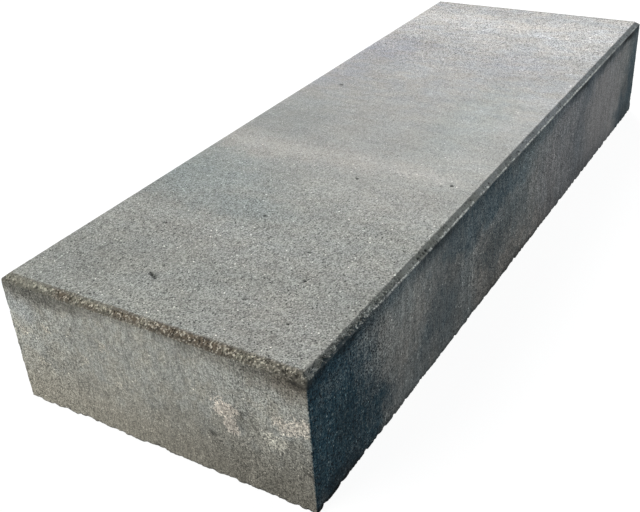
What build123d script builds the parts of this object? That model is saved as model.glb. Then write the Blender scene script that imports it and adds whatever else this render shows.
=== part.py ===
from build123d import *
import os

# Concrete block step, cast in one piece of dense concrete.
# All lengths in millimetres.
# Frame: +X along the length of the step, +Z up. The riser (front long face)
# faces -Y and the back long face faces +Y. The origin is the middle of the
# underside, so the step rests on the plane Z = 0.

# ---- driving dimensions ---------------------------------------------------
LENGTH = 1000.0        # along X, end face to end face
DEPTH = 350.0          # along Y, riser face to back face (the tread)
HEIGHT = 150.0         # along Z, underside to tread (the rise)

CHAMFER_IN = 7.0       # chamfer round the tread: set back on the tread
CHAMFER_DOWN = 5.0     # the same chamfer: how far it comes down the sides

# ---- the casting ----------------------------------------------------------
# A plain full-section block. The underside and the four upright arrises are
# left sharp, as the mould leaves them.
with BuildPart() as casting:
    Box(
        LENGTH,
        DEPTH,
        HEIGHT,
        align=(Align.CENTER, Align.CENTER, Align.MIN),
    )
    # One chamfer runs round all four edges of the tread and is mitred at
    # the corners. Its two legs differ a little, so each edge names the tread
    # as the face that the longer leg lies on.
    tread = casting.faces().sort_by(Axis.Z)[-1]
    chamfer(
        tread.edges(),
        length=CHAMFER_IN,
        length2=CHAMFER_DOWN,
        reference=tread,
    )

block_step = casting.part.solid()

# ---- write the piece ------------------------------------------------------
os.makedirs("parts", exist_ok=True)
export_step(block_step, "parts/block_step.step")

box = block_step.bounding_box()
print("size mm: %.2f x %.2f x %.2f" % (box.size.X, box.size.Y, box.size.Z))
print("volume dm3: %.3f" % (block_step.volume / 1e6))
print("valid:", block_step.is_valid)
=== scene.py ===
import itertools
import math

import bpy
import numpy as np
from mathutils import Matrix, Vector
from mathutils.geometry import delaunay_2d_cdt


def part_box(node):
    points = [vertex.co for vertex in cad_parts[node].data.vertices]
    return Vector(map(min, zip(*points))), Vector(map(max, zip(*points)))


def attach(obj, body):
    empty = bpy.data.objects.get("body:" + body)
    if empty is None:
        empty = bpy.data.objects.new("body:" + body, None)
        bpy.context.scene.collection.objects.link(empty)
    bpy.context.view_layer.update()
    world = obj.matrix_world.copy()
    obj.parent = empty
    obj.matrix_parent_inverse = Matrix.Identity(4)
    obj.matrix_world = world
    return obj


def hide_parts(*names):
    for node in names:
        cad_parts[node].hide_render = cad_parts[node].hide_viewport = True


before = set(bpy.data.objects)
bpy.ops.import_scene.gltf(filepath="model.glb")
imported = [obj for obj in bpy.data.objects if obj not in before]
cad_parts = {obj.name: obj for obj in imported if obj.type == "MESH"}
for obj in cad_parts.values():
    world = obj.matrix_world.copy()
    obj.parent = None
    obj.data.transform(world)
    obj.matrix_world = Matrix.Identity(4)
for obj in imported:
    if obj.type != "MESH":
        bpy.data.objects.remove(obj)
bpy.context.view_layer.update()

# ---------------------------------------------------------------------------
# The casting's nominal box, in millimetres, from the frame.
# ---------------------------------------------------------------------------
low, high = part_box("block_step")
HX = float(high.x) * 1000.0          # half length
HY = float(high.y) * 1000.0          # half depth
HZ = float(high.z) * 1000.0          # height
C_IN, C_DOWN = 7.0, 5.0              # the chamfer round the tread

RNG = np.random.default_rng(41)
PERM = RNG.permutation(256)
GRAD = RNG.normal(size=(256, 3))
GRAD /= np.linalg.norm(GRAD, axis=1, keepdims=True)


def smooth(a, b, x):
    t = np.clip((x - a) / (b - a), 0.0, 1.0)
    return t * t * (3.0 - 2.0 * t)


def lattice(c):
    return PERM[(PERM[(PERM[c[:, 0] & 255] + c[:, 1]) & 255] + c[:, 2]) & 255]


def noise(p, size, seed=0):
    """Gradient noise, about -1 to 1. size is one number or one for each axis."""
    q = p / np.asarray(size, float) + np.array([13.7, 71.3, 29.9]) * (seed + 1)
    i = np.floor(q).astype(np.int64)
    f = q - i
    w = f * f * f * (f * (f * 6.0 - 15.0) + 10.0)
    total = np.zeros(len(p))
    for corner in itertools.product((0, 1), repeat=3):
        c = np.array(corner)
        g = GRAD[lattice(i + c)]
        weight = np.where(c == 1, w, 1.0 - w).prod(1)
        total += weight * (g * (f - c)).sum(1)
    return total * 1.7


def fractal(p, size, octaves=3, seed=0, gain=0.5):
    total, amount = np.zeros(len(p)), 1.0
    size = np.asarray(size, float)
    for k in range(octaves):
        total += amount * noise(p, size / 2.0**k, seed + 17 * k)
        amount *= gain
    return total


def cells(p, size, seed=0):
    """Distance to the nearest of one scattered point for each cell, in cells, and that point's own number from 0 to 1."""
    q = p / size + 9.1 * (seed + 1)
    i = np.floor(q).astype(np.int64)
    best = np.full(len(p), 9.0)
    own = np.zeros(len(p))
    for corner in itertools.product((-1, 0, 1), repeat=3):
        c = i + np.array(corner)
        h = lattice(c)
        at = c + np.stack([PERM[h], PERM[(h + 51) & 255], PERM[(h + 119) & 255]], 1) / 255.0
        d = np.linalg.norm(q - at, axis=1)
        near = d < best
        best[near], own[near] = d[near], PERM[(h[near] + 7) & 255] / 255.0
    return best, own


# ---------------------------------------------------------------------------
# Base surface: the chamfered block as one closed triangle mesh, fine along
# the edges and coarser inside each face. Vertices on a shared edge are shared.
# ---------------------------------------------------------------------------
STEP = 1.75                           # spacing along the edges
FINE = 1.15                           # along the ends' chamfers
CLOSE = 1.4                           # along the long chamfers
NX = int(round(2 * HX / STEP))
NY = int(round(2 * HY / STEP))
ZS = HZ - C_DOWN                      # where the sides meet the chamfer
NZ = int(round(ZS / STEP))

points, faces = [], []                # arrays of base points, arrays of triangles
count = 0


def add_points(p):
    global count
    p = np.asarray(p, float).reshape(-1, 3)
    points.append(p)
    ids = np.arange(count, count + len(p))
    count += len(p)
    return ids


def scatter(x0, x1, y0, y1, bands, depth, keep_off=0.62, rng=RNG):
    """Jittered points in a rectangle, one spacing for each band of depth from the edges."""
    found = []
    for d0, d1, h in bands:
        nx = max(2, int(round((x1 - x0) / h)))
        ny = max(2, int(round((y1 - y0) / (h * 0.866))))
        gx, gy = np.meshgrid(np.arange(nx) + 0.5, np.arange(ny) + 0.5)
        gx = gx + 0.5 * (np.arange(ny) % 2)[:, None] - 0.25
        p = np.stack([gx.ravel() / nx, gy.ravel() / ny], 1)
        p = p * [x1 - x0, y1 - y0] + [x0, y0]
        p += rng.uniform(-0.24, 0.24, p.shape) * h
        edge = np.minimum.reduce([p[:, 0] - x0, x1 - p[:, 0], p[:, 1] - y0, y1 - p[:, 1]])
        d = depth(p)
        found.append(p[(edge > keep_off * min(h, STEP * 1.2)) & (d >= d0) & (d < d1)])
    return np.concatenate(found)


def fill(ring2, ring_ids, inner2, lift, want, loop=None):
    """Triangulates a patch. ring2 is its closed outline, inner2 the points inside it, lift makes 3-D points of them, want is the outward direction. loop is a run of inner2 that edges must follow, (first, count)."""
    inner_ids = add_points(lift(inner2))
    flat = np.concatenate([ring2, inner2])
    ids = np.concatenate([ring_ids, inner_ids])
    n = len(ring2)
    edges = [(k, (k + 1) % n) for k in range(n)]
    if loop:
        edges += [(n + loop[0] + k, n + loop[0] + (k + 1) % loop[1]) for k in range(loop[1])]
    got = delaunay_2d_cdt([Vector(v) for v in flat.tolist()], edges, [], 1, 1e-7)
    origin = np.array([o[0] for o in got[3]])
    tri = origin[np.array([f for f in got[2]])]
    a, b, c = (flat[tri[:, k]] for k in range(3))
    turn = (b[:, 0] - a[:, 0]) * (c[:, 1] - a[:, 1]) - (b[:, 1] - a[:, 1]) * (c[:, 0] - a[:, 0])
    tri = tri[np.abs(turn) > 1e-9]
    turn = turn[np.abs(turn) > 1e-9]
    tri[turn < 0] = tri[turn < 0][:, ::-1]
    sample = np.array([[0.0, 0.0], [1.0, 0.0], [0.0, 1.0]]) + flat.mean(0)
    s = lift(sample)
    if np.dot(np.cross(s[1] - s[0], s[2] - s[0]), want) < 0:
        tri = tri[:, ::-1]
    faces.append(ids[tri])
    return inner_ids


def lerp(a, b, n):
    return np.linspace(a, b, n + 1)


# Corner columns and the edges between them, at the foot and under the chamfer.
corner_xy = [(-HX, -HY), (HX, -HY), (HX, HY), (-HX, HY)]
side_n = [NX, NY, NX, NY]
side_step = [CLOSE, FINE, CLOSE, FINE]
foot, brow, column = [], [], []
for k, (x, y) in enumerate(corner_xy):
    z = lerp(0.0, ZS, NZ)
    column.append(add_points(np.stack([np.full_like(z, x), np.full_like(z, y), z], 1)))
for k in range(4):
    a, b = np.array(corner_xy[k]), np.array(corner_xy[(k + 1) % 4])
    t = lerp(0.0, 1.0, side_n[k])[1:-1, None]
    xy = a + (b - a) * t
    low_row = add_points(np.column_stack([xy, np.zeros(len(xy))]))
    t = lerp(0.0, 1.0, int(round(np.linalg.norm(b - a) / side_step[k])))[1:-1, None]
    xy = a + (b - a) * t
    top_row = add_points(np.column_stack([xy, np.full(len(xy), ZS)]))
    nxt = (k + 1) % 4
    foot.append(np.concatenate([[column[k][0]], low_row, [column[nxt][0]]]))
    brow.append(np.concatenate([[column[k][-1]], top_row, [column[nxt][-1]]]))

base_so_far = lambda: np.concatenate(points)

# Larger pits in the tread: x, y, radius, depth.
PITS = [
    (-432.5, 40.5, 2.7, 2.2), (-434.5, 36.5, 2.7, 2.3), (-437.0, 32.5, 2.0, 1.6), (-348.0, 93.0, 1.9, 1.2),
    (-291.0, 7.0, 2.1, 1.4), (-334.0, -76.0, 1.6, 1.0), (-293.0, -157.0, 1.6, 1.0), (-175.0, -39.0, 2.2, 1.5),
    (-148.0, -141.0, 2.4, 1.7), (72.0, 124.5, 2.6, 1.7), (-12.0, 0.0, 1.4, 0.9), (298.0, 58.0, 1.8, 1.1),
    (-379.0, -98.0, 2.1, 1.5), (-416.0, 39.0, 1.7, 1.2), (-429.0, 9.0, 1.7, 1.2), (-391.0, -61.0, 1.6, 1.1),
    (-429.0, -66.0, 1.5, 1.0), (-444.0, -121.0, 1.5, 1.0), (-471.0, -24.0, 1.4, 0.9), (-354.0, 75.0, 1.5, 1.0),
    (-374.0, -81.0, 1.5, 1.0), (-475.0, -50.0, 1.4, 0.9), (-410.0, 117.0, 1.5, 1.0), (-430.0, 67.0, 1.4, 0.9),
    (-390.0, -2.0, 1.4, 0.9), (-317.0, 26.0, 1.4, 0.9), (-313.0, -12.0, 1.4, 0.9), (-482.0, -108.0, 1.3, 0.9),
    (-453.0, 8.0, 1.3, 0.9), (-446.0, 89.0, 1.3, 0.9), (-456.0, 113.0, 1.3, 0.9), (-460.0, -115.0, 1.3, 0.9),
    (-268.0, -154.0, 1.5, 1.0), (-236.0, -60.0, 1.3, 0.8), (330.0, 62.0, 1.5, 1.0), (205.0, -85.0, 1.4, 0.9),
]
for _ in range(40):
    PITS.append((RNG.uniform(-480, 480), RNG.uniform(-160, 160), RNG.uniform(0.8, 1.3), RNG.uniform(0.5, 0.8)))
PITS = np.array(PITS)


# Pits in the chamfers, on their middle lines: place along the edge, radius, depth.
LONG_PITS = [(-468, 2.1, 1.3), (-457, 1.4, 0.8), (-440, 1.6, 0.9), (-406, 1.6, 1.0), (-376, 1.4, 0.8), (-362, 1.8, 1.1), (-335, 1.4, 0.8),
             (-295, 2.1, 1.4), (-284, 1.6, 1.0), (-278, 2.2, 1.4), (-190, 1.4, 0.9), (-120, 1.5, 0.9), (-30, 1.4, 0.8), (120, 1.6, 1.0), (262, 1.5, 0.9)]
END_PITS = [(-164, 1.8, 1.2), (-152, 2.1, 1.4), (-118, 1.5, 0.9), (-58, 1.7, 1.0), (-20, 1.5, 0.9), (38, 1.6, 1.0), (84, 1.7, 1.0), (128, 1.5, 0.9)]


def tread_depth(p):
    return np.minimum.reduce([p[:, 0] + HX, HX - p[:, 0], p[:, 1] + HY, HY - p[:, 1]])


def tread_lift(p):
    d = tread_depth(p)
    z = HZ - C_DOWN * np.clip(1.0 - d / C_IN, 0.0, 1.0)
    return np.column_stack([p, z])


ring_ids = np.concatenate([b[:-1] for b in brow])
ring2 = base_so_far()[ring_ids][:, :2]
# a line of points along the arris at the top of the chamfer
ix, iy = HX - C_IN, HY - C_IN
arris = []
for (xa, ya), (xb, yb), h in (((-ix, -iy), (ix, -iy), CLOSE), ((ix, -iy), (ix, iy), FINE), ((ix, iy), (-ix, iy), CLOSE), ((-ix, iy), (-ix, -iy), FINE)):
    t = lerp(0.0, 1.0, int(round(math.hypot(xb - xa, yb - ya) / h)))[:-1, None]
    arris.append(np.array([xa, ya]) + (np.array([xb, yb]) - [xa, ya]) * t)
arris = np.concatenate(arris)
RIM = 8.4
inner = [scatter(-HX, HX, -HY, HY, [(RIM + 0.5, 12.5, 2.2), (12.5, 19, 3.3), (19, 999, 5.4)], tread_depth)]
for sign in (-1, 1):
    a, b = sorted((sign * HX, sign * (HX - RIM)))
    inner.append(scatter(a, b, -HY, HY, [(-99, 999, FINE)], tread_depth))
    a, b = sorted((sign * HY, sign * (HY - RIM)))
    inner.append(scatter(-HX + RIM, HX - RIM, a, b, [(-99, 999, CLOSE)], tread_depth))
inner = np.concatenate(inner)
inner = inner[np.abs(tread_depth(inner) - C_IN) > 0.6]
# rings of points round each pit
spots = []
for x, y, r, depth in PITS:
    gap = np.linalg.norm(inner - [x, y], axis=1)
    inner = inner[gap > r * 1.9]
    spots.append([[x, y]])
    for share, n in ((0.45, 6), (0.85, 9), (1.3, 11), (1.75, 12)):
        turn = np.arange(n) / n * 2 * math.pi + share * 5.0
        spots.append(np.stack([x + r * share * np.cos(turn), y + r * share * np.sin(turn)], 1))
first = len(inner)
inner = np.concatenate([inner, arris] + [np.asarray(s, float) for s in spots])
arris_ids = fill(ring2, ring_ids, inner, tread_lift, np.array([0.0, 0.0, 1.0]), (first, len(arris)))[first:first + len(arris)]

# underside
ring_ids = np.concatenate([b[:-1] for b in foot])
ring2 = base_so_far()[ring_ids][:, :2]
inner = scatter(-HX, HX, -HY, HY, [(0, 6, 2.1), (6, 14, 4.0), (14, 999, 11.0)], tread_depth)
fill(ring2, ring_ids, inner, lambda p: np.column_stack([p, np.zeros(len(p))]), np.array([0.0, 0.0, -1.0]))

# the four upright faces, each in (along, up)
for k in range(4):
    a, b = np.array(corner_xy[k]), np.array(corner_xy[(k + 1) % 4])
    nxt = (k + 1) % 4
    long = float(np.linalg.norm(b - a))
    along = (b - a) / long
    ids = np.concatenate([foot[k][:-1], column[nxt][:-1], brow[k][1:][::-1], column[k][1:][::-1]])
    p3 = base_so_far()[ids]
    ring2 = np.column_stack([(p3[:, :2] - a) @ along, p3[:, 2]])

    def wall_depth(p, long=long):
        return np.minimum.reduce([p[:, 0], long - p[:, 0], p[:, 1] - 5.0, ZS - p[:, 1]])

    inner = scatter(0.0, long, 0.0, ZS, [(-9, 7, 1.75), (7, 10.5, 2.4), (10.5, 17, 3.4), (17, 999, 5.4)], wall_depth)
    inner = np.concatenate([inner[inner[:, 1] < ZS - 5.0], scatter(0.0, long, ZS - 4.6, ZS, [(-99, 999, side_step[k])], wall_depth)])

    def wall_lift(p, a=a, along=along):
        return np.column_stack([a + p[:, :1] * along, p[:, 1]])

    out = np.array([along[1], -along[0], 0.0])
    fill(ring2, ids, inner, wall_lift, out)

base = base_so_far()
tris = np.concatenate(faces)

# ---------------------------------------------------------------------------
# Relief. Every vertex moves inwards from the nominal surface, so the casting
# stays inside its own box.
# ---------------------------------------------------------------------------
x, y, z = base.T
ax, ay = HX - np.abs(x), HY - np.abs(y)          # depth from the end faces and long faces
d_edge = np.minimum(ax, ay)                      # depth from the outline, seen from above
on_top = (z > ZS + 1e-6)
on_foot = (z < 1e-6)

ROUND = 7.0
w = np.stack([
    np.sign(x) * np.maximum(np.abs(x) - (HX - ROUND), 0.0),
    np.sign(y) * np.maximum(np.abs(y) - (HY - ROUND), 0.0),
    np.maximum(z - (HZ - ROUND), 0.0) - np.maximum(ROUND - z, 0.0),
], 1)
outward = w / np.maximum(np.linalg.norm(w, axis=1, keepdims=True), 1e-9)

# how much each vertex belongs to the chamfer's band
rag = fractal(base, 8.0, 3, 3)
at_end = smooth(-3.0, 3.0, ay - ax + 4.0 * noise(base, 8.0, 14))      # 1 on the ends' chamfers, 0 on the long ones
wear = at_end * (0.7 * np.maximum(noise(base, 31.0, 20) + 0.15, 0.0) + (1.9 * np.exp(-((y + 66.0) / 44.0) ** 2) + 0.9 * np.exp(-((y + 146.0) / 22.0) ** 2)) * (x < 0))
in_cham = smooth(C_IN + 0.05, C_IN - 0.75, d_edge - wear + 0.3 * rag) * smooth(ZS - 0.8, ZS + 0.1, z + 0.6 * rag)
# closeness to the upright arrises and to the foot
near_col = smooth(8.0, 0.0, np.hypot(ax, ay)) * (~on_foot)
foot_side = smooth(8.0, 0.5, z + 2.0 * fractal(base, 16.0, 2, 5)) * smooth(9.0, 0.0, d_edge)
foot_under = on_foot * smooth(9.0, 0.5, d_edge)

amount = 0.22 + 0.13 * noise(base, 160.0, 1) + 0.08 * noise(base, 34.0, 2) + 0.04 * noise(base, 9.0, 4)
# the ends' chamfers are open and sandy, the long ones closer
grit_far, grit_own = cells(base, 2.1, 3)
bead = (grit_own - 0.45) * smooth(0.80, 0.20, grit_far)
hole_far, hole_own = cells(base, 3.3, 5)
hole = smooth(0.46, 0.20, hole_far) * smooth(0.50, 0.66, hole_own + 0.25 * noise(base, 15.0, 21))
open_band = in_cham + (1.0 - in_cham) * smooth(ZS - 3.6, ZS - 0.6, z + 1.4 * rag) * smooth(0.6, 0.0, d_edge) * (~on_top)
sandy_band = open_band * at_end
close_band = open_band * (1.0 - at_end)
amount += sandy_band * (0.22 + 0.40 * fractal(base, 5.2, 3, 6, 0.75) + 0.35 * np.maximum(fractal(base, 19.0, 3, 7), 0.0) - 0.85 * bead + 0.75 * hole)
near_long = smooth(-150.0, -400.0, x) * (y < 0)
amount += close_band * (0.08 + (0.18 + 0.16 * near_long) * fractal(base, 5.2, 3, 6, 0.75) + 0.20 * np.maximum(fractal(base, 19.0, 3, 7), 0.0) - (0.35 + 0.08 * near_long) * bead + 0.40 * hole)
# worn and chipped arrises
chip = np.maximum(fractal(base, 13.0, 3, 8) - 0.35, 0.0)
nibble = np.maximum(fractal(base, 7.0, 3, 22) - 0.30, 0.0)
brow_side = smooth(3.0, 0.0, np.abs(z - ZS)) * smooth(3.5, 0.0, d_edge)
amount += near_col * (0.10 + 1.5 * chip + 0.25 * noise(base, 3.0, 9))
amount += brow_side * nibble * (0.8 + 1.0 * at_end + 0.6 * near_long * (1.0 - at_end))
lumps = sum(h * np.exp(-((z - at) / half) ** 2) for at, half, h in ((48.0, 4.5, 1.0), (68.0, 3.5, 0.8), (92.0, 3.5, 0.6), (20.0, 5.0, 0.6)))
amount += near_col * (x < 0) * (y > 0) * 0.45 * (1.0 - np.minimum(lumps, 1.0))
# the crumbled foot
crumb = fractal(base, 17.0, 4, 10, 0.62)
bite = np.maximum(fractal(base, 46.0, 3, 15) - 0.30, 0.0)
at_foot_end = smooth(-4.0, 4.0, ay - ax)
amount += foot_side * (0.06 + 0.14 * at_foot_end + (0.40 + 0.45 * at_foot_end) * crumb + (0.5 + 0.9 * at_foot_end) * bite)
fine_crumb = np.maximum(fractal(base * [1.0, 1.0, 0.6], 7.5, 3, 31, 0.6) - 0.12, 0.0)
foot_line = smooth(4.5, 0.0, z) * smooth(6.0, 0.0, d_edge)
amount += foot_line * fine_crumb * (1.9 - 0.6 * at_foot_end)
amount += foot_under * (0.05 + 0.25 * crumb + 0.3 * bite)
# pits in the tread
# the pits are also coloured darker inside: painted shade
pit_shade_mask = np.zeros(len(base))
for px, py, r, depth in PITS:
    gap = np.hypot(x - px, y - py)
    amount += on_top * depth * smooth(r * 1.35, r * 0.25, gap)
    pit_shade_mask = np.maximum(pit_shade_mask, on_top * min(1.0, 0.35 + depth * 0.4) * smooth(r * 1.15, r * 0.55, gap))

for along, r, depth in LONG_PITS:
    gap = np.hypot(x - along, (y + HY - 1.9) * 0.9)
    amount += in_cham * depth * smooth(r * 1.3, r * 0.3, gap)
    hole = np.maximum(hole, in_cham * smooth(r * 1.2, r * 0.6, gap))
for along, r, depth in END_PITS:
    gap = np.hypot(y - along, (x + HX - 2.8) * 0.9)
    amount += in_cham * depth * smooth(r * 1.3, r * 0.3, gap)
    hole = np.maximum(hole, in_cham * smooth(r * 1.2, r * 0.6, gap))

amount = np.maximum(amount, 0.0)
moved = base - outward * amount[:, None]
# the corners of the tread are knocked round, the near left one the most
for cx, cy, size in ((-HX, -HY, 22.0), (HX, -HY, 10.0), (HX, HY, 12.0), (-HX, HY, 10.0)):
    mid = np.array([cx - np.sign(cx) * size, cy - np.sign(cy) * size, HZ - size])
    q = (moved - mid) / size * [np.sign(cx), np.sign(cy), 1.0]
    inside = (q > 0.0).all(1)
    power = 2.5
    norm = (np.clip(q, 0.0, None) ** power).sum(1) ** (1.0 / power)
    limit = 2.0 ** (1.0 / power) * (1.0 + 0.012 * fractal(base, 4.0, 3, 18))
    pull = np.where(inside & (norm > limit), limit / np.maximum(norm, 1e-9), 1.0)
    moved = mid + (moved - mid) * pull[:, None]
# the underside lies on the floor, apart from its ragged rim
flat = on_foot & (d_edge > 9.0)
moved[flat, 2] = np.maximum(0.0, 0.12 + 0.12 * noise(base[flat], 40.0, 12))
moved[:, 0] = np.clip(moved[:, 0], -HX, HX)
moved[:, 1] = np.clip(moved[:, 1], -HY, HY)
moved[:, 2] = np.clip(moved[:, 2], 0.0, HZ)

mesh = bpy.data.meshes.new("block_step_casting")
mesh.vertices.add(len(moved))
mesh.vertices.foreach_set("co", (moved / 1000.0).astype(np.float32).ravel())
mesh.loops.add(3 * len(tris))
mesh.loops.foreach_set("vertex_index", tris.astype(np.int32).ravel())
mesh.polygons.add(len(tris))
mesh.polygons.foreach_set("loop_start", np.arange(0, 3 * len(tris), 3, dtype=np.int32))
mesh.polygons.foreach_set("loop_total", np.full(len(tris), 3, np.int32))
mesh.update(calc_edges=True)
mesh.validate()
mesh.polygons.foreach_set("use_smooth", np.ones(len(tris), bool))
# crisp lines along both edges of the chamfers
line_of = np.zeros(len(base), int)
line_of[arris_ids] = 1
line_of[np.concatenate(brow)] = 2
pair = np.zeros(2 * len(mesh.edges), np.int32)
mesh.edges.foreach_get("vertices", pair)
pair = pair.reshape(-1, 2)
crisp = (line_of[pair[:, 0]] > 0) & (line_of[pair[:, 0]] == line_of[pair[:, 1]])
mesh.edges.foreach_set("use_edge_sharp", crisp)

# Zones that the material reads, one number for each vertex.
top_zone = smooth(C_IN - 0.7, C_IN - 0.05, d_edge - wear + 0.3 * rag) * on_top
front_zone = smooth(0.02, 0.0, HY + y) * (~on_top) * smooth(ZS + 1.0, ZS - 1.0, z)
end_zone = smooth(0.02, 0.0, HX - np.abs(x)) * (~on_top)
corner_gap = np.linalg.norm(base - np.array([-HX, -HY, HZ]), axis=1)
in_cham = np.maximum(in_cham, smooth(13.0, 8.5, corner_gap + 1.5 * rag))
for name, values in (("cham", in_cham), ("tread", top_zone), ("riser", front_zone), ("end", end_zone), ("coarse", at_end), ("pit", pit_shade_mask), ("hole", hole), ("bead", smooth(0.66, 0.80, grit_own) * smooth(0.62, 0.35, grit_far))):
    layer = mesh.attributes.new(name, "FLOAT", "POINT")
    layer.data.foreach_set("value", values.astype(np.float32))

# A layout for finishes, one flat island for each side of the block.
uv = mesh.uv_layers.new(name="OFBake")
tri_base = base[tris]
normal = np.cross(tri_base[:, 1] - tri_base[:, 0], tri_base[:, 2] - tri_base[:, 0])
normal /= np.linalg.norm(normal, axis=1, keepdims=True)
side = np.argmax(np.stack([
    normal[:, 2] > 0.5, normal[:, 2] < -0.5,
    normal[:, 1] < -0.5, normal[:, 1] > 0.5, normal[:, 0] < -0.5, normal[:, 0] > 0.5], 1), 1)
X, Y, Z = tri_base[..., 0], tri_base[..., 1], tri_base[..., 2]
GAP = 6.0
SHEET = 2 * HX + 2 * GAP
rows = {
    0: (X + HX, Y + HY, GAP, GAP, 1.0),
    2: (X + HX, Z, GAP, 2 * GAP + 2 * HY, 1.0),
    3: (HX - X, Z, GAP, 3 * GAP + 2 * HY + HZ, 1.0),
    4: (HY - Y, Z, GAP, 4 * GAP + 2 * HY + 2 * HZ, 0.9),
    5: (Y + HY, Z, 2 * GAP + 1.8 * HY, 4 * GAP + 2 * HY + 2 * HZ, 0.9),
    1: (X + HX, HY - Y, GAP, 5 * GAP + 2 * HY + 2.9 * HZ, 0.46),
}
flat_uv = np.zeros((len(tris), 3, 2))
for k, (u, v, u0, v0, scale) in rows.items():
    pick = side == k
    flat_uv[pick, :, 0] = (u[pick] * scale + u0) / SHEET
    flat_uv[pick, :, 1] = (v[pick] * scale + v0) / SHEET
uv.data.foreach_set("uv", flat_uv.astype(np.float32).ravel())

casting = bpy.data.objects.new("block_step_casting", mesh)
bpy.context.scene.collection.objects.link(casting)
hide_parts("block_step")
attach(casting, "root")

# ---------------------------------------------------------------------------
# Material
# ---------------------------------------------------------------------------
mat = bpy.data.materials.new("cast_concrete")
mat.use_nodes = True
nt = mat.node_tree
nt.nodes.clear()


def node(kind, **props):
    n = nt.nodes.new(kind)
    for key, value in props.items():
        setattr(n, key, value)
    return n


def put(socket, value):
    if isinstance(value, bpy.types.NodeSocket):
        nt.links.new(value, socket)
    elif isinstance(value, (tuple, list)) and len(value) == 3 and socket.type == "RGBA":
        socket.default_value = (*value, 1.0)
    else:
        socket.default_value = value


def maths(op, a, b=0.0, c=0.0, clamp=False):
    n = node("ShaderNodeMath", operation=op, use_clamp=clamp)
    for s, v in zip(n.inputs, (a, b, c)):
        put(s, v)
    return n.outputs[0]


def add(a, b):
    return maths("ADD", a, b)


def sub(a, b):
    return maths("SUBTRACT", a, b)


def mul(a, b):
    return maths("MULTIPLY", a, b)


def ramp(value, *stops):
    """A piecewise smooth curve: stops are (place, value) pairs."""
    n = node("ShaderNodeFloatCurve")
    lo, hi = stops[0][0], stops[-1][0]
    curve = n.mapping.curves[0]
    while len(curve.points) < len(stops):
        curve.points.new(0.5, 0.5)
    for p, (at, v) in zip(curve.points, stops):
        p.location = ((at - lo) / (hi - lo), v)
        p.handle_type = "AUTO_CLAMPED"
    n.mapping.update()
    t = maths("MULTIPLY_ADD", value, 1.0 / (hi - lo), -lo / (hi - lo), clamp=True)
    put(n.inputs["Value"], t)
    put(n.inputs["Factor"], 1.0)
    return n.outputs[0]


def span(value, a, b, out0=0.0, out1=1.0):
    n = node("ShaderNodeMapRange", interpolation_type="SMOOTHSTEP", clamp=True)
    for s, v in zip(n.inputs, (value, a, b, out0, out1)):
        put(s, v)
    return n.outputs[0]


def mix(amount_, a, b, kind="MIX"):
    n = node("ShaderNodeMix", data_type="RGBA", blend_type=kind, clamp_factor=True)
    put(n.inputs[0], amount_)
    put(n.inputs[6], a)
    put(n.inputs[7], b)
    return n.outputs[2]


def blend_value(amount_, a, b):
    n = node("ShaderNodeMix", data_type="FLOAT")
    put(n.inputs[0], amount_)
    put(n.inputs[2], a)
    put(n.inputs[3], b)
    return n.outputs[0]


def scaled(vector, sx, sy, sz, shift=(0.0, 0.0, 0.0)):
    n = node("ShaderNodeMapping", vector_type="POINT")
    put(n.inputs["Vector"], vector)
    n.inputs["Scale"].default_value = (sx, sy, sz)
    n.inputs["Location"].default_value = shift
    return n.outputs[0]


def blotch(vector, size, detail=2.0, rough=0.5, warp=0.0, shift=0.0):
    """Noise with features about size millimetres across, 0 to 1, middle 0.5."""
    n = node("ShaderNodeTexNoise", noise_dimensions="3D")
    put(n.inputs["Vector"], scaled(vector, 1.0, 1.0, 1.0, (shift, shift * 0.7, shift * 1.3)))
    n.inputs["Scale"].default_value = 1.0 / size
    n.inputs["Detail"].default_value = detail
    n.inputs["Roughness"].default_value = rough
    n.inputs["Distortion"].default_value = warp
    return n.outputs["Fac"]


def speck(vector, size, spread=1.0, shift=0.0):
    """Scattered points: distance to the nearest, in sizes, and a number for each."""
    n = node("ShaderNodeTexVoronoi", voronoi_dimensions="3D", feature="F1")
    put(n.inputs["Vector"], scaled(vector, 1.0, 1.0, 1.0, (shift, shift * 0.6, shift * 1.7)))
    n.inputs["Scale"].default_value = 1.0 / size
    n.inputs["Randomness"].default_value = spread
    sep = node("ShaderNodeSeparateColor")
    put(sep.inputs[0], n.outputs["Color"])
    return n.outputs["Distance"], sep.outputs[0], sep.outputs[1]


def attribute(name):
    n = node("ShaderNodeAttribute", attribute_type="GEOMETRY", attribute_name=name)
    return n.outputs["Fac"]


coords = node("ShaderNodeTexCoord").outputs["Object"]
P = scaled(coords, 1000.0, 1000.0, 1000.0)              # millimetres
sep = node("ShaderNodeSeparateXYZ")
put(sep.inputs[0], P)
PX, PY, PZ = sep.outputs
cham, tread, riser, end, coarse, pit, hole_shade, bead_at = (attribute(n) for n in ("cham", "tread", "riser", "end", "coarse", "pit", "hole", "bead"))

# A position shaken by ragged noise, for stains and zones with natural rims.
shake = node("ShaderNodeTexNoise", noise_dimensions="3D")
put(shake.inputs["Vector"], P)
shake.inputs["Scale"].default_value = 1.0 / 26.0
shake.inputs["Detail"].default_value = 5.0
shake.inputs["Roughness"].default_value = 0.62
offset = node("ShaderNodeVectorMath", operation="MULTIPLY_ADD")
put(offset.inputs[0], shake.outputs["Color"])
offset.inputs[1].default_value = (80.0, 80.0, 80.0)
offset.inputs[2].default_value = (-40.0, -40.0, -40.0)
shaken = node("ShaderNodeVectorMath", operation="ADD")
put(shaken.inputs[0], P)
put(shaken.inputs[1], offset.outputs[0])
PW = shaken.outputs[0]
sep_w = node("ShaderNodeSeparateXYZ")
put(sep_w.inputs[0], PW)
WX, WY, WZ = sep_w.outputs


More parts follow.
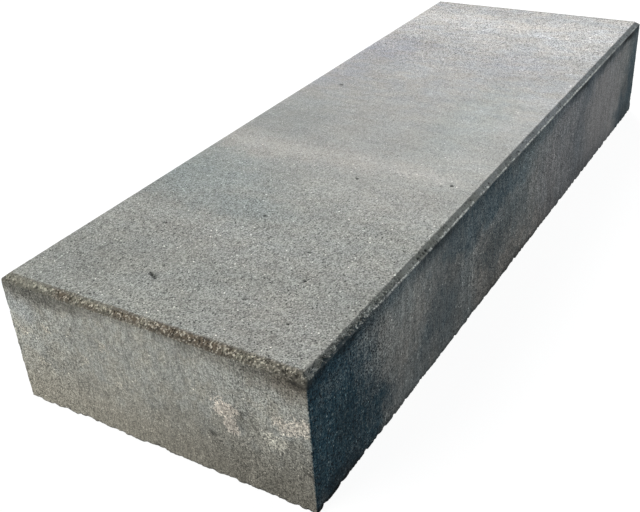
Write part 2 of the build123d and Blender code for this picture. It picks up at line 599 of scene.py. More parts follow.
def gap_from(place, centre, reach):
    """Distance of a place from a centre, counted in reaches."""
    n = node("ShaderNodeVectorMath", operation="MULTIPLY_ADD")
    put(n.inputs[0], place)
    n.inputs[1].default_value = tuple(1.0 / r for r in reach)
    n.inputs[2].default_value = tuple(-c / r for c, r in zip(centre, reach))
    far = node("ShaderNodeVectorMath", operation="LENGTH")
    put(far.inputs[0], n.outputs[0])
    return far.outputs["Value"]


def stain(centre, reach, inner=0.35):
    """1 in the middle of an ellipsoid, 0 outside it, with a ragged rim. Millimetres."""
    return span(gap_from(PW, centre, reach), 1.0, inner)


gentle = node("ShaderNodeVectorMath", operation="MULTIPLY_ADD")
put(gentle.inputs[0], offset.outputs[0])
gentle.inputs[1].default_value = (0.30, 0.30, 0.30)
put(gentle.inputs[2], P)
PG = gentle.outputs[0]


def patch(centre, reach, inner=0.25):
    """Like a stain, closer to its ellipsoid. Millimetres."""
    return span(gap_from(PG, centre, reach), 1.0, inner)


def most(*values):
    total = values[0]
    for v in values[1:]:
        total = maths("MAXIMUM", total, v)
    return total


def tone_of(value, swing):
    """Turns noise about 0.5 into a factor about 1."""
    return maths("MULTIPLY_ADD", value, swing, 1.0 - 0.5 * swing)


# -- sand: every grain has its own shade, with pores and pale grains between
d_sand, own_sand, own_sand2 = speck(P, 1.25, 1.0, 2.0)
fine = blotch(P, 1.1, 1.0, 0.6, 0.0, 21.0)
mottle = blotch(P, 6.0, 3.0, 0.65, 0.0, 9.0)
clouds = blotch(P, 70.0, 4.0, 0.5, 0.4, 3.0)
patchy = blotch(P, 22.0, 3.0, 0.6, 0.0, 83.0)
cluster = blotch(P, 24.0, 3.0, 0.6, 0.0, 15.0)
d_light, own_light, size_light = speck(P, 3.5, 1.0, 5.0)
d_dark, own_dark, size_dark = speck(P, 3.2, 1.0, 11.0)
light_grain = mul(mul(maths("MULTIPLY_ADD", span(PX, 120.0, 320.0), -0.55, 1.0), span(d_light, maths("MULTIPLY_ADD", size_light, 0.16, 0.16), 0.10)), span(own_light, 0.70, 0.78))
dark_pore = mul(span(d_dark, maths("MULTIPLY_ADD", size_dark, 0.26, 0.17), 0.08), span(add(own_dark, mul(cluster, 0.9)), 0.85, 0.95))
grain_tone = mul(tone_of(own_sand, 0.82), tone_of(fine, 1.08))
grain_tone = mul(grain_tone, tone_of(mottle, 0.40))
grain_tone = mul(grain_tone, maths("MULTIPLY_ADD", light_grain, 1.62, 1.0))
grain_tone = mul(grain_tone, maths("MULTIPLY_ADD", dark_pore, -0.90, 1.0))
# the surface is more open at one end of the block and closer along the rest
along_tread = mul(ramp(PX, (-500, 0.64), (-330, 0.62), (-60, 0.305), (100, 0.34), (300, 0.70), (500, 0.78)), 2.0)
along_riser = mul(ramp(PX, (-500, 0.94), (-400, 0.84), (-330, 0.44), (-235, 0.42), (-180, 0.60), (100, 0.56), (350, 0.34), (500, 0.34)), 2.6)
along_end = mul(ramp(PY, (-175, 0.70), (-110, 0.68), (-40, 0.48), (60, 0.48), (120, 0.69), (175, 0.74)), 2.0)
strength = blend_value(riser, blend_value(tread, blend_value(end, 1.0, along_end), along_tread), along_riser)
grain_tone = maths("MULTIPLY_ADD", sub(grain_tone, 1.0), strength, 1.0)
grain_tone = maths("MAXIMUM", grain_tone, 0.06)
# painted shade: the tread darkens inside its pits
grain_tone = mul(grain_tone, maths("MULTIPLY_ADD", pit, -0.80, 1.0))
cloud_tone = tone_of(clouds, 0.30)

# -- tread: faint bands across its width, cooler and warmer by turns
swing_x = maths("MULTIPLY_ADD", sub(WX, PX), 0.42, PX)
bands = ramp(swing_x,
             (-500, 0.470), (-455, 0.445), (-380, 0.430), (-350, 0.452), (-315, 0.465), (-302, 0.442), (-265, 0.462),
             (-205, 0.495), (-162, 0.490), (-140, 0.542), (-118, 0.500), (-60, 0.480), (-10, 0.505), (90, 0.512),
             (165, 0.544), (230, 0.532), (275, 0.518), (315, 0.564), (354, 0.560), (369, 0.640), (425, 0.624),
             (448, 0.550), (500, 0.518))
across = blotch(scaled(P, 1.0, 0.12, 1.0), 9.0, 3.0, 0.6, 0.0, 35.0)
across2 = blotch(scaled(P, 1.0, 0.3, 1.0), 34.0, 3.0, 0.6, 0.0, 38.0)
tread_tone = mul(mul(mul(bands, 2.0), tone_of(across, 0.30)), tone_of(across2, 0.27))
# painted light: the tread is lighter towards the front edge and darker towards the back, more so away from the near end
painted_light_tilt = mul(maths("MULTIPLY_ADD", sub(WY, PY), 0.8, PY), maths("MULTIPLY_ADD", span(PX, -340.0, -200.0), -0.00056, -0.00030))
tread_tone = mul(tread_tone, add(painted_light_tilt, 1.0))
lifted = most(patch((-100, -115, 150), (100, 80, 40)), patch((40, -115, 150), (100, 80, 40)), patch((-155, 115, 150), (90, 75, 40)),
              mul(patch((325, 115, 150), (30, 70, 40)), 0.9), mul(patch((335, -110, 150), (34, 60, 40)), 0.9),
              mul(patch((-395, -110, 150), (26, 55, 40)), 0.9))
lowered = most(mul(patch((190, 115, 150), (110, 75, 40)), 0.8), mul(patch((180, -110, 150), (90, 70, 40)), 0.7), patch((-435, 115, 150), (42, 62, 40)),
               mul(patch((-475, -110, 150), (40, 60, 40)), 0.5))
tread_tone = mul(tread_tone, maths("MULTIPLY_ADD", sub(lifted, lowered), 0.11, 1.0))
tread_tone = mul(tread_tone, maths("MULTIPLY_ADD", most(patch((374, -70, 150), (11, 66, 40)), mul(patch((392, 40, 150), (9, 120, 40)), 0.5)), 0.085, 1.0))
# painted highlight: a faint light line on the tread along the long arrises, away from the near end
tread_tone = mul(tread_tone, maths("MULTIPLY_ADD", mul(span(maths("ABSOLUTE", PY), 164.5, 166.5), span(PX, -300.0, -180.0)), 0.07, 1.0))
cool = most(mul(mul(stain((-238, 165, 150), (96, 190, 60), 0.2), span(swing_x, -314.0, -298.0)), 1.0), mul(stain((-40, 120, 150), (90, 60, 60)), 0.3),
            mul(stain((30, -90, 150), (170, 60, 60)), 0.42), mul(stain((-336, -50, 150), (36, 110, 60)), 0.35),
            mul(stain((-286, 45, 150), (44, 95, 60), 0.2), 0.75), mul(stain((-184, 168, 150), (30, 60, 60)), 0.6),
            mul(stain((-62, 168, 150), (34, 56, 60)), 0.4))
lavender = most(mul(stain((236, 150, 150), (78, 110, 60), 0.2), 1.0), mul(stain((130, 165, 150), (100, 70, 60)), 0.55),
                mul(stain((342, 165, 150), (24, 60, 60)), 0.6), mul(stain((238, -75, 150), (56, 80, 60)), 0.4))
warm_band = most(mul(stain((-138, 30, 150), (42, 250, 60)), 0.8), mul(stain((414, 60, 150), (40, 160, 60)), 0.6),
                 mul(stain((-205, -110, 150), (66, 90, 60)), 0.38),
                 mul(stain((-345, -40, 150), (50, 220, 60)), 0.3), mul(stain((-455, -110, 150), (75, 95, 60)), 0.45))
sheet = ramp(swing_x, (-500, 0.0), (-250, 0.25), (0, 0.65), (300, 1.0), (500, 1.0))
tread_colour = mix(sheet, (0.335, 0.337, 0.308), (0.352, 0.346, 0.340))
tread_colour = mix(cool, tread_colour, (0.300, 0.325, 0.313))
tread_colour = mix(lavender, tread_colour, (0.343, 0.339, 0.354))
tread_colour = mix(mul(warm_band, 0.7), tread_colour, (0.384, 0.363, 0.338))
sheet_hue = blotch(scaled(P, 1.0, 0.55, 1.0), 24.0, 3.0, 0.6, 0.0, 127.0)
tread_colour = mix(maths("MULTIPLY_ADD", span(PX, -60.0, 160.0), 0.65, 0.35), tread_colour,
                   mix(span(sheet_hue, 0.32, 0.68), (1.030, 1.0, 0.962), (0.968, 0.998, 1.038)), "MULTIPLY")

# -- end face: drawn upright by the mould, grey with beige blooms, darker towards the bottom
drag = blotch(scaled(P, 1.0, 1.0, 0.16), 1.6, 3.0, 0.65, 0.0, 44.0)
drag2 = blotch(scaled(P, 1.0, 1.0, 0.22), 10.0, 3.0, 0.6, 0.0, 47.0)
end_tone = mul(tone_of(drag, 1.45), tone_of(drag2, 0.55))
end_tone = mul(end_tone, tone_of(blotch(P, 15.0, 3.0, 0.6, 0.0, 121.0), 0.30))
near_z = maths("MULTIPLY_ADD", sub(WZ, PZ), 0.35, PZ)
near_y = maths("MULTIPLY_ADD", sub(WY, PY), 0.6, PY)
# the shaded band under the chamfer: deep towards both corners, thin between
reach = mul(ramp(near_y, (-175, 0.74), (-150, 0.80), (-120, 0.74), (-100, 0.60), (-60, 0.45), (0, 0.37), (60, 0.43), (85, 0.56), (110, 0.68), (130, 0.70), (150, 0.78), (175, 0.78)), 40.0)
dim = ramp(near_y, (-175, 0.86), (-165, 0.83), (-150, 0.71), (-120, 0.54), (-88, 0.35), (-60, 0.62), (-30, 0.46), (0, 0.38), (60, 0.46), (85, 0.52), (110, 0.55), (150, 0.62), (175, 0.66))
hard = ramp(near_y, (-175, 0.08), (-150, 0.10), (-120, 0.30), (-95, 0.12), (-60, 0.0), (60, 0.0), (85, 0.25), (110, 0.38), (130, 0.22), (150, 0.03), (175, 0.03))
under = maths("DIVIDE", sub(ZS + 1.5, near_z), reach)
under = mul(span(under, 1.0, hard), dim)
end_tone = mul(end_tone, sub(1.0, under))
end_tone = mul(end_tone, maths("MULTIPLY_ADD", mul(span(near_y, -118.0, -104.0), mul(span(near_y, -88.0, -102.0), span(PZ, 40.0, 60.0))), -0.12, 1.0))
low_near = mul(span(WY, 70.0, -150.0), span(WZ, 105.0, 15.0))
end_tone = mul(end_tone, maths("MULTIPLY_ADD", low_near, -0.43, 1.0))
end_tone = mul(end_tone, maths("MULTIPLY_ADD", mul(span(WZ, 82.0, 50.0), span(WZ, 6.0, 24.0)), -0.08, 1.0))
end_tone = mul(end_tone, maths("MULTIPLY_ADD", span(WZ, 34.0, 4.0), -0.14, 1.0))


def shade_spot(centre, reach):
    """A small dent's painted shade: a dark spot with no dent in the mesh, 1 in its middle. Millimetres."""
    return span(add(gap_from(PG, centre, reach), mul(sub(mottle, 0.5), 2.2)), 1.1, 0.6)


end_tone = mul(end_tone, maths("MULTIPLY_ADD", most(span(near_y, 128.0, 162.0), mul(patch((-500, -121, 50), (60, 15, 36)), 1.7), mul(span(near_y, -128.0, -160.0), span(PZ, 60.0, 30.0))), 0.09, 1.0))
# painted shade: small dark dents on the end face, coloured only
painted_dents = most(shade_spot((-500, -60, 101), (9, 3.2, 1.8)), mul(shade_spot((-500, -67, 47), (9, 4.0, 2.6)), 0.8), mul(shade_spot((-500, -74, 43), (9, 3.0, 2.2)), 0.9),
              shade_spot((-500, -171, 42), (9, 5.0, 1.8)), shade_spot((-500, 88, 112), (9, 2.0, 2.0)), mul(shade_spot((-500, -20, 92), (9, 2.2, 1.6)), 0.7),
              mul(shade_spot((-500, -104, 80), (9, 1.8, 5.0)), 0.5), mul(shade_spot((-500, -107, 66), (9, 3.0, 2.4)), 0.6), mul(shade_spot((-500, 88, 78), (9, 2.6, 2.0)), 0.6))
end_tone = mul(end_tone, maths("MULTIPLY_ADD", painted_dents, -0.62, 1.0))
bloom = most(mul(patch((-500, -88, 82), (40, 19, 13)), 1.25), mul(patch((-500, -91, 67), (40, 11, 12)), 1.15), mul(patch((-500, -152, 90), (40, 22, 13)), 0.75), patch((-500, -166, 95), (40, 15, 13)),
             mul(patch((-500, -138, 68), (40, 20, 13)), 0.85), mul(patch((-500, -78, 92), (40, 14, 8)), 0.5), mul(patch((-500, 164, 88), (40, 20, 12)), 0.45),
             mul(patch((-500, 126, 100), (40, 9, 8)), 0.5), mul(patch((-500, 50, 104), (40, 9, 8)), 0.7), mul(patch((-500, 82, 80), (40, 13, 9)), 0.42),
             mul(patch((-500, 141, 54), (40, 11, 8)), 0.45), mul(patch((-500, 42, 64), (40, 14, 12)), 0.32), mul(patch((-500, -12, 40), (40, 16, 10)), 0.30))
crumbly = span(add(add(bloom, mul(sub(blotch(P, 3.4, 3.0, 0.7, 0.0, 73.0), 0.5), 1.4)), mul(sub(own_sand, 0.5), 0.75)), 0.32, 0.78)
bloom_colour = mix(patch((-500, -138, 68), (40, 26, 18)), mix(span(maths("ABSOLUTE", add(PY, 87.0)), 24.0, 48.0), (0.570, 0.504, 0.434), mix(span(PY, 0.0, -60.0), (0.46, 0.420, 0.350), (0.530, 0.470, 0.402))), (0.58, 0.545, 0.46))
warm = span(add(blotch(P, 20.0, 4.0, 0.62, 0.2, 40.0), mul(span(PZ, 110.0, 20.0), 0.16)), 0.42, 0.66)
end_colour = mix(warm, (0.314, 0.311, 0.284), (0.313, 0.299, 0.260))
end_colour = mix(mul(patch((-500, 160, 116), (40, 34, 24)), 0.8), end_colour, (0.304, 0.312, 0.304))
end_colour = mix(mul(span(near_z, 74.0, 8.0), 0.8), end_colour, (0.320, 0.290, 0.236))
end_colour = mix(mul(under, 1.3), end_colour, mix(span(near_y, -110.0, -150.0), (0.320, 0.304, 0.258), (0.330, 0.290, 0.232)))
end_colour = mix(mul(crumbly, maths("MULTIPLY_ADD", patch((-500, -87, 76), (40, 26, 30)), 0.16, 0.70)), end_colour, bloom_colour)

# -- riser: brownish grey, stained slate-blue where it has stayed damp, with painted shadow under the chamfer and at the foot
damp_and_brow_shade = most(stain((-480, 0, 80), (118, 9999, 130), 0.42), mul(stain((-420, 0, 30), (76, 9999, 72), 0.4), 0.92),
            mul(stain((-135, 0, 118), (210, 9999, 36), 0.3), 0.58), mul(stain((-78, 0, 120), (84, 9999, 28), 0.3), 0.56),
            mul(stain((-250, 0, 60), (64, 9999, 60), 0.2), 0.42), mul(stain((-105, 0, 60), (75, 9999, 40), 0.2), 0.46),
            mul(stain((-55, 0, 74), (95, 9999, 40), 0.2), 0.32), mul(stain((205, 0, 70), (38, 9999, 80), 0.2), 0.22), mul(stain((238, 0, 122), (44, 9999, 34), 0.2), 0.34),
            mul(stain((486, 0, 66), (52, 9999, 112), 0.35), 0.70), mul(stain((446, 0, 16), (62, 9999, 58), 0.35), 0.60),
            mul(stain((20, 0, 15), (150, 9999, 22), 0.2), 0.16))
pale = most(mul(stain((-322, 0, 92), (80, 9999, 62), 0.3), 0.7), mul(stain((95, 0, 60), (90, 9999, 80), 0.2), 0.45),
            mul(stain((330, 0, 72), (125, 9999, 95), 0.35), 0.85))
speckled = mul(sub(blotch(scaled(P, 1.0, 1.0, 0.45), 7.0, 4.0, 0.72, 0.0, 59.0), 0.5), 0.95)
# painted shadow: the riser darkens just under the chamfer
brow_shadow = span(near_z, 130.0, 141.0)
damp_and_brow_shade = add(sub(damp_and_brow_shade, mul(pale, 0.35)), speckled)
damp_and_brow_shade = sub(damp_and_brow_shade, mul(stain((-456, 0, 118), (52, 9999, 20), 0.2), 0.15))
# the painted shadow under the chamfer also turns the riser slate-blue there
damp_and_brow_shade = add(damp_and_brow_shade, mul(brow_shadow, 0.22))
damp_and_brow_shade = maths("MULTIPLY_ADD", damp_and_brow_shade, 0.78, 0.22, clamp=True)
streak = blotch(scaled(P, 1.0, 1.0, 0.12), 1.7, 3.0, 0.65, 0.0, 61.0)
streaked = maths("MULTIPLY_ADD", mul(sub(streak, 0.5), along_riser), 1.25, 1.0)
riser_colour = mix(damp_and_brow_shade, (0.332, 0.314, 0.292), mix(span(mul(grain_tone, streaked), 0.45, 1.75), (0.008, 0.070, 0.114), (0.040, 0.066, 0.076)))
d_r, own_r, size_r = speck(scaled(P, 1.0, 1.0, 0.6), 2.3, 1.0, 95.0)
pale_speck = mul(span(d_r, 0.44, 0.18), span(own_r, 0.70, 0.78))
riser_colour = mix(mul(pale_speck, 0.34), riser_colour, (0.40, 0.41, 0.39))
hue = blotch(scaled(P, 1.0, 1.0, 0.6), 46.0, 4.0, 0.62, 0.0, 103.0)
bluish = add(add(mul(sub(hue, 0.5), maths("MULTIPLY_ADD", span(maths("ABSOLUTE", add(PX, 170.0)), 260.0, 150.0), 1.1, 0.5)), mul(span(near_z, 124.0, 139.0), 0.45)), mul(stain((-40, 0, 122), (150, 9999, 30), 0.2), 0.3))
bluish = sub(bluish, most(mul(stain((-20, 0, 8), (170, 9999, 34), 0.2), 0.9), mul(stain((-130, 0, 52), (60, 9999, 50), 0.2), 0.6)))
bluish = add(bluish, mul(stain((25, 0, 138), (80, 9999, 16), 0.2), 0.7))
riser_colour = mix(1.0, riser_colour, mix(span(bluish, -0.8, 0.8), (1.08, 0.99, 0.92), (0.88, 1.0, 1.05)), "MULTIPLY")
riser_colour = mix(mul(stain((235, 0, 70), (260, 9999, 160), 0.5), 0.9), riser_colour, mix(1.0, riser_colour, (1.01, 0.983, 1.045), "MULTIPLY"))
streak2 = blotch(scaled(P, 1.0, 1.0, 0.2), 10.0, 3.0, 0.6, 0.0, 64.0)
riser_tone = mul(streaked, tone_of(streak2, 0.85))
# painted shadow under the chamfer, deeper at places along the length
brow_shadow_along = ramp(PX, (-500, 0.18), (-428, 0.34), (-372, 0.0), (-310, 0.0), (-265, 0.58), (-215, 0.38), (-150, 0.0), (-60, 0.0), (5, 0.24), (70, 0.0), (150, 0.05), (205, 0.74), (270, 0.12), (335, 0.62),
                  (385, 0.10), (430, 0.98), (480, 0.50), (500, 0.50))
riser_tone = mul(riser_tone, maths("MULTIPLY_ADD", mul(brow_shadow, brow_shadow_along), -1.0, 1.0))
# the riser's tone by height: darker towards the foot, and painted shadow under the chamfer at the top
riser_rows = ramp(near_z, (0, 0.27), (4, 0.31), (10, 0.375), (16, 0.395), (38, 0.44), (65, 0.465), (92, 0.51), (118, 0.525),
                  (127, 0.48), (136, 0.395), (145, 0.34))
riser_tone = mul(riser_tone, mul(riser_rows, 2.0))
# painted shadow: a darker band just under the chamfer towards the near end
riser_tone = mul(riser_tone, maths("MULTIPLY_ADD", mul(span(add(near_z, mul(sub(patchy, 0.5), 9.0)), 137.0, 141.5), span(PX, -385.0, -430.0)), -0.36, 1.0))
darker = most(mul(patch((-12, 0, 3), (125, 9999, 10)), 0.34), mul(patch((245, 0, 11), (110, 9999, 20)), 0.19), mul(patch((-440, 0, 62), (34, 9999, 44)), 0.24), mul(patch((-458, 0, 10), (50, 9999, 18)), 0.46), mul(patch((-216, 0, 92), (30, 9999, 26)), 0.20),
              mul(patch((-212, 0, 26), (34, 9999, 30)), 0.20), mul(patch((-108, 0, 13), (34, 9999, 18)), 0.18), mul(patch((97, 0, 30), (26, 9999, 36)), 0.18),
              mul(patch((450, 0, 62), (32, 9999, 28)), 0.24), mul(patch((456, 0, 14), (40, 9999, 24)), 0.28), mul(patch((-68, 0, 68), (34, 9999, 26)), 0.14))
lighter = most(mul(patch((-456, 0, 134), (20, 9999, 12)), 0.30), mul(patch((-392, 0, 15), (24, 9999, 16)), 0.20), mul(patch((-118, 0, 92), (64, 9999, 16)), 0.14), mul(patch((-330, 0, 13), (28, 9999, 20)), 0.30), mul(patch((10, 0, 12), (84, 9999, 22)), 0.26), mul(patch((-160, 0, 120), (50, 9999, 20)), 0.15), mul(patch((-280, 0, 118), (22, 9999, 18)), 0.16), mul(patch((-480, 0, 66), (24, 9999, 26)), 0.20), mul(patch((382, 0, 30), (50, 9999, 34)), 0.13), mul(patch((-430, 0, 118), (26, 9999, 16)), 0.16), mul(patch((-155, 0, 60), (28, 9999, 52)), 0.15),
               mul(patch((-355, 0, 138), (26, 9999, 14)), 0.28), mul(patch((215, 0, 60), (50, 9999, 30)), 0.10), mul(patch((-30, 0, 118), (20, 9999, 20)), 0.18))
riser_tone = mul(riser_tone, add(sub(lighter, darker), 1.0))
# painted shade: the foot is darkened nearly to black where it meets the floor, most at the near end
foot_contact_shade = mul(span(add(PZ, mul(sub(mottle, 0.5), 7.0)), 7.5, 2.5), maths("MULTIPLY_ADD", span(PX, -395.0, -440.0), 0.60, mul(span(PX, 160.0, 60.0), 0.24)))
riser_tone = mul(riser_tone, sub(1.0, foot_contact_shade))

# -- the sides that stay in the ground or against the next step
hidden_colour = mix(span(add(blotch(scaled(P, 0.7, 1.0, 0.5), 90.0, 4.0, 0.6, 0.3, 91.0), mul(speckled, 0.14)), 0.34, 0.68), (0.300, 0.291, 0.268), (0.226, 0.234, 0.232))
# darker towards the foot, with painted shadow under the chamfer at the top
hidden_tone = mul(mul(maths("MULTIPLY_ADD", sub(streak, 0.5), 0.5, 1.0), tone_of(streak2, 0.6)), mul(ramp(near_z, (0, 0.39), (10, 0.44), (30, 0.485), (70, 0.51), (122, 0.505), (137, 0.455), (145, 0.40)), 2.0))

# -- chamfers: open, sandy and brown at the ends, closer and grey on the long sides
d_c, own_c, own_c2 = speck(P, 1.35, 1.0, 81.0)
grit = mul(ramp(own_c, (0.0, 0.08), (0.13, 0.13), (0.20, 0.24), (0.50, 0.31), (0.80, 0.42), (0.88, 0.72), (1.0, 0.90)), 2.7)
pale_grit = most(span(own_c, 0.80, 0.88), mul(bead_at, 0.7))
sandy = mix(span(add(patchy, mul(stain((-500, -55, 147), (90, 60, 60)), -0.22)), 0.36, 0.62), (0.180, 0.143, 0.104), (0.294, 0.273, 0.213))
near_corner = span(PY, -105.0, -145.0)
sandy = mix(mul(near_corner, 0.75), sandy, (0.196, 0.180, 0.146))
sandy = mix(mul(span(PX, 0.0, 100.0), 0.6), sandy, (0.222, 0.218, 0.190))
quiet = span(add(PY, mul(sub(patchy, 0.5), 60.0)), 92.0, 128.0)
sandy = mix(mul(quiet, 0.7), sandy, (0.262, 0.256, 0.212))
sandy_v = node("ShaderNodeVectorMath", operation="SCALE")
put(sandy_v.inputs[0], sandy)
put(sandy_v.inputs["Scale"], mul(maths("MULTIPLY_ADD", sub(grit, 1.0), maths("MULTIPLY_ADD", quiet, -0.5, 1.0), 1.0), tone_of(fine, 1.1)))
sandy = mix(mul(pale_grit, maths("MULTIPLY_ADD", near_corner, -0.24, maths("MULTIPLY_ADD", quiet, -0.40, 0.72))), sandy_v.outputs[0], (0.70, 0.65, 0.545))
# near black in dark pores, and painted shade in the chamfer's holes
sandy = mix(mul(most(dark_pore, hole_shade), 0.82), sandy, (0.026, 0.023, 0.018))
brink = add(PZ, mul(sub(mottle, 0.5), 1.8))
sandy = mix(mul(span(brink, 147.0, 145.4), 0.42), sandy, (0.07, 0.064, 0.052))
sandy = mix(mul(span(brink, 148.9, 149.5), 0.35), sandy, (0.06, 0.052, 0.042))
open_near = span(add(PX, mul(sub(patchy, 0.5), 90.0)), -300.0, -400.0)
close_tone = mul(maths("MULTIPLY_ADD", sub(grit, 1.0), maths("MULTIPLY_ADD", open_near, 0.70, 0.24), 1.0), maths("MULTIPLY_ADD", sub(fine, 0.5), maths("MULTIPLY_ADD", open_near, 1.5, 0.9), 1.0))
close_tone = mul(close_tone, maths("MULTIPLY_ADD", span(add(PX, mul(sub(patchy, 0.5), 60.0)), -370.0, -450.0), -0.26, 1.0))
close_v = node("ShaderNodeVectorMath", operation="SCALE")
put(close_v.inputs[0], mix(span(PX, -250.0, 60.0), mix(span(patchy, 0.36, 0.62), (0.198, 0.203, 0.180), (0.248, 0.257, 0.240)),
                           mix(span(patchy, 0.36, 0.62), (0.186, 0.200, 0.200), (0.242, 0.258, 0.268))))
put(close_v.inputs["Scale"], close_tone)
broken = span(add(blotch(scaled(P, 1.0, 0.4, 0.4), 11.0, 3.0, 0.65, 0.0, 107.0), mul(span(maths("ABSOLUTE", sub(PX, 225.0)), 160.0, 60.0), 0.06)), 0.43, 0.50)
# pale crumbs along the long chamfer's lower edge, with painted highlight where they catch the light, up to white
lip_crumb_highlight = mul(mul(span(add(PZ, mul(sub(mottle, 0.5), 0.9)), 145.9, 145.5), span(own_c2, 0.15, 0.31)), maths("MULTIPLY_ADD", broken, 0.9, 0.1))
lip_crumb_highlight = mul(lip_crumb_highlight, maths("MULTIPLY_ADD", span(add(PX, mul(sub(patchy, 0.5), 90.0)), -450.0, -385.0), 0.88, 0.08))
lip_crumb_highlight = mul(lip_crumb_highlight, maths("MULTIPLY_ADD", span(PX, 230.0, 330.0), -0.55, 1.0))
lip_crumb_highlight_colour = mix(span(own_c, 0.1, 0.9), (0.72, 0.715, 0.66), (1.0, 1.0, 0.95))
close = mix(lip_crumb_highlight, close_v.outputs[0], lip_crumb_highlight_colour)
# near black: painted shade in the long chamfer's holes, and dark pores towards the near end
close = mix(mul(most(mul(hole_shade, maths("MULTIPLY_ADD", open_near, -0.3, 1.0)), mul(mul(dark_pore, open_near), 0.9)), 0.92), close, (0.010, 0.013, 0.014))
# the long chamfer's lower edge is nibbled near the corner, with painted shadow in near black along its ragged line
nibble_shadow = span(add(PZ, maths("MULTIPLY_ADD", sub(blotch(P, 5.0, 3.0, 0.7, 0.0, 113.0), 0.5), 10.0, mul(sub(own_c, 0.5), 1.0))), 146.2, 145.6)
nibble_shadow = mul(mul(nibble_shadow, maths("MULTIPLY_ADD", open_near, 0.80, 0.12)), span(PY, 0.0, -20.0))
close = mix(nibble_shadow, close, (0.020, 0.033, 0.040))
cham_colour = mix(coarse, close, sandy)


colour = mix(riser, mix(end, hidden_colour, end_colour), riser_colour)
colour = mix(tread, colour, tread_colour)
tone = blend_value(end, hidden_tone, end_tone)
tone = blend_value(riser, tone, riser_tone)
tone = blend_value(tread, tone, tread_tone)
tone = mul(mul(tone, grain_tone), cloud_tone)
surface = node("ShaderNodeVectorMath", operation="SCALE")
put(surface.inputs[0], colour)
put(surface.inputs["Scale"], tone)
# grains of the end chamfers spill a little over both of their edges
loose = mul(sub(blotch(P, 2.6, 3.0, 0.7, 0.0, 131.0), 0.5), 5.5)
far_x = maths("ABSOLUTE", PX)
spill = most(mul(span(add(PZ, loose), 142.5, 143.9), end), mul(span(add(far_x, loose), 490.2, 491.9), tread))
under_cham = mix(mul(mul(spill, span(far_x, 487.0, 488.0)), 0.9), surface.outputs[0], sandy)
final = mix(cham, under_cham, cham_colour)
# the near-left corner, where the chamfers meet, is coloured nearly black
corner_dark = mul(mul(patch((-498, -166, 141), (16, 17, 8)), span(add(mottle, mul(sub(own_c, 0.5), 0.4)), 0.38, 0.60)), 0.7)
final = mix(corner_dark, final, (0.034, 0.031, 0.026))

height = add(mul(own_sand, 0.13), mul(fine, 0.35))
height = add(height, mul(mottle, 0.30))
height = add(height, mul(light_grain, 0.12))
height = add(height, mul(dark_pore, -0.45))
height = add(height, mul(mul(own_c, cham), 0.60))
bump = node("ShaderNodeBump")
bump.inputs["Strength"].default_value = 1.0
bump.inputs["Distance"].default_value = 0.001
put(bump.inputs["Height"], height)

shader = node("ShaderNodeBsdfPrincipled")
put(shader.inputs["Base Color"], final)
put(shader.inputs["Roughness"], maths("MULTIPLY_ADD", fine, 0.2, 0.78))
shader.inputs["Specular IOR Level"].default_value = 0.3
put(shader.inputs["Normal"], bump.outputs[0])
out = node("ShaderNodeOutputMaterial")
put(out.inputs["Surface"], shader.outputs[0])
mesh.materials.append(mat)

# ---------------------------------------------------------------------------
# Floor, light and camera
# ---------------------------------------------------------------------------
floor_mesh = bpy.data.meshes.new("floor")
S = 12.0
floor_mesh.from_pydata([(-S, -S, 0), (S, -S, 0), (S, S, 0), (-S, S, 0)], [], [(0, 1, 2, 3)])
floor = bpy.data.objects.new("floor", floor_mesh)
bpy.context.scene.collection.objects.link(floor)
floor_mat = bpy.data.materials.new("pale_floor")
floor_mat.use_nodes = True
ft = floor_mat.node_tree
ft.nodes.clear()
diffuse = ft.nodes.new("ShaderNodeBsdfDiffuse")
diffuse.inputs["Color"].default_value = (0.11, 0.11, 0.11, 1.0)
glow = ft.nodes.new("ShaderNodeEmission")
glow.inputs["Color"].default_value = (1.0, 1.0, 1.0, 1.0)
glow.inputs["Strength"].default_value = 0.94
both = ft.nodes.new("ShaderNodeAddShader")
ft.links.new(diffuse.outputs[0], both.inputs[0])
ft.links.new(glow.outputs[0], both.inputs[1])
fout = ft.nodes.new("ShaderNodeOutputMaterial")
ft.links.new(both.outputs[0], fout.inputs["Surface"])
floor_mesh.materials.append(floor_mat)
floor.visible_diffuse = False
floor.visible_glossy = False

# a plain round backdrop, seen by the camera only
ring = 48
wall_r, wall_h = 11.5, 14.0
points = [(wall_r * math.cos(math.tau * i / ring), wall_r * math.sin(math.tau * i / ring), h) for h in (-0.01, wall_h) for i in range(ring)]
wall_mesh = bpy.data.meshes.new("backdrop")
wall_mesh.from_pydata(points, [], [(i, (i + 1) % ring, ring + (i + 1) % ring, ring + i) for i in range(ring)])
wall = bpy.data.objects.new("backdrop", wall_mesh)
bpy.context.scene.collection.objects.link(wall)
wall_mat = bpy.data.materials.new("pale_backdrop")
wall_mat.use_nodes = True
wn = wall_mat.node_tree
wn.nodes.clear()
wall_glow = wn.nodes.new("ShaderNodeEmission")
wall_glow.inputs["Color"].default_value = (1.0, 1.0, 1.0, 1.0)
wall_glow.inputs["Strength"].default_value = 0.95
wall_out = wn.nodes.new("ShaderNodeOutputMaterial")
wn.links.new(wall_glow.outputs[0], wall_out.inputs["Surface"])
wall_mesh.materials.append(wall_mat)
wall.visible_diffuse = False
wall.visible_glossy = False
wall.visible_transmission = False
wall.visible_shadow = False

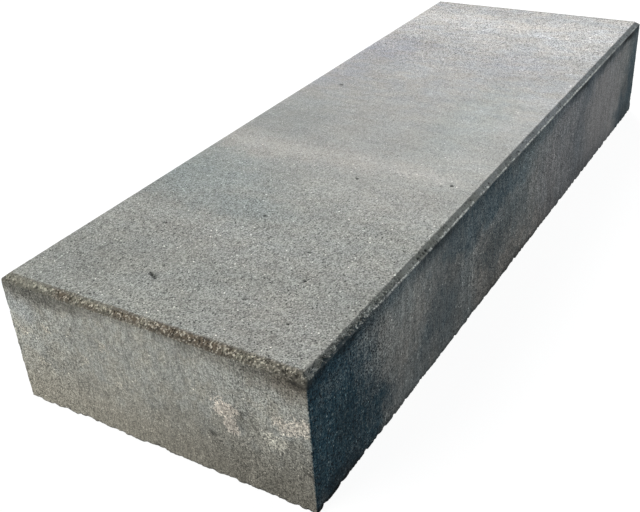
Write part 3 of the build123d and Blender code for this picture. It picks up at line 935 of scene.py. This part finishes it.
world = bpy.data.worlds.new("studio")
bpy.context.scene.world = world
world.use_nodes = True
wt = world.node_tree
wt.nodes.clear()
sky = wt.nodes.new("ShaderNodeBackground")
sky.inputs["Color"].default_value = (0.80, 0.92, 1.0, 1.0)
sky.inputs["Strength"].default_value = 0.28
wout = wt.nodes.new("ShaderNodeOutputWorld")
wt.links.new(sky.outputs[0], wout.inputs["Surface"])


def area(name, at, to, size, power, colour_=(1.0, 1.0, 1.0)):
    data = bpy.data.lights.new(name, "AREA")
    data.shape = "RECTANGLE"
    data.size, data.size_y = size
    data.energy = power
    data.color = colour_
    lamp = bpy.data.objects.new(name, data)
    lamp.location = at
    lamp.rotation_euler = (Vector(to) - Vector(at)).to_track_quat("-Z", "Y").to_euler()
    bpy.context.scene.collection.objects.link(lamp)
    return lamp


area("key", (-2.4, 0.9, 1.25), (0, 0, 0.1), (1.3, 1.3), 51.0, (1.0, 0.99, 0.95))
area("far", (1.5, 0.9, 1.35), (0.2, 0, 0.1), (1.2, 1.0), 50.0, (1.0, 0.99, 0.98))
area("fill", (2.1, -1.9, 0.8), (0.1, 0, 0.1), (1.2, 0.9), 20.0, (1.0, 0.98, 0.95))

# Camera, from the photograph's perspective of the block (lengths in metres).
F_PX, CX_PX, CY_PX = 906.577, 330.0, 250.0
WIDTH, HEIGHT = 640.0, 512.0
az, el, roll = 0.5677, 0.5371, 0.0623
ahead = Vector((math.cos(el) * math.cos(az), math.cos(el) * math.sin(az), -math.sin(el)))
right = ahead.cross(Vector((0, 0, 1))).normalized()
down = ahead.cross(right)
right, down = (math.cos(roll) * right + math.sin(roll) * down,
               -math.sin(roll) * right + math.cos(roll) * down)
cam_data = bpy.data.cameras.new("camera")
cam_data.sensor_fit = "HORIZONTAL"
cam_data.sensor_width = 36.0
cam_data.lens = F_PX * 36.0 / WIDTH
cam_data.shift_x = (WIDTH / 2 - CX_PX) / WIDTH
cam_data.shift_y = (CY_PX - HEIGHT / 2) / WIDTH
cam_data.clip_end = 100.0
cam = bpy.data.objects.new("camera", cam_data)
turn = Matrix((right, -down, -ahead)).transposed().to_4x4()
cam.matrix_world = Matrix.Translation(Vector((-0.9583213, -0.4965954, 0.5992606))) @ turn
bpy.context.scene.collection.objects.link(cam)
bpy.context.scene.camera = cam
bpy.context.scene.view_settings.view_transform = "Standard"
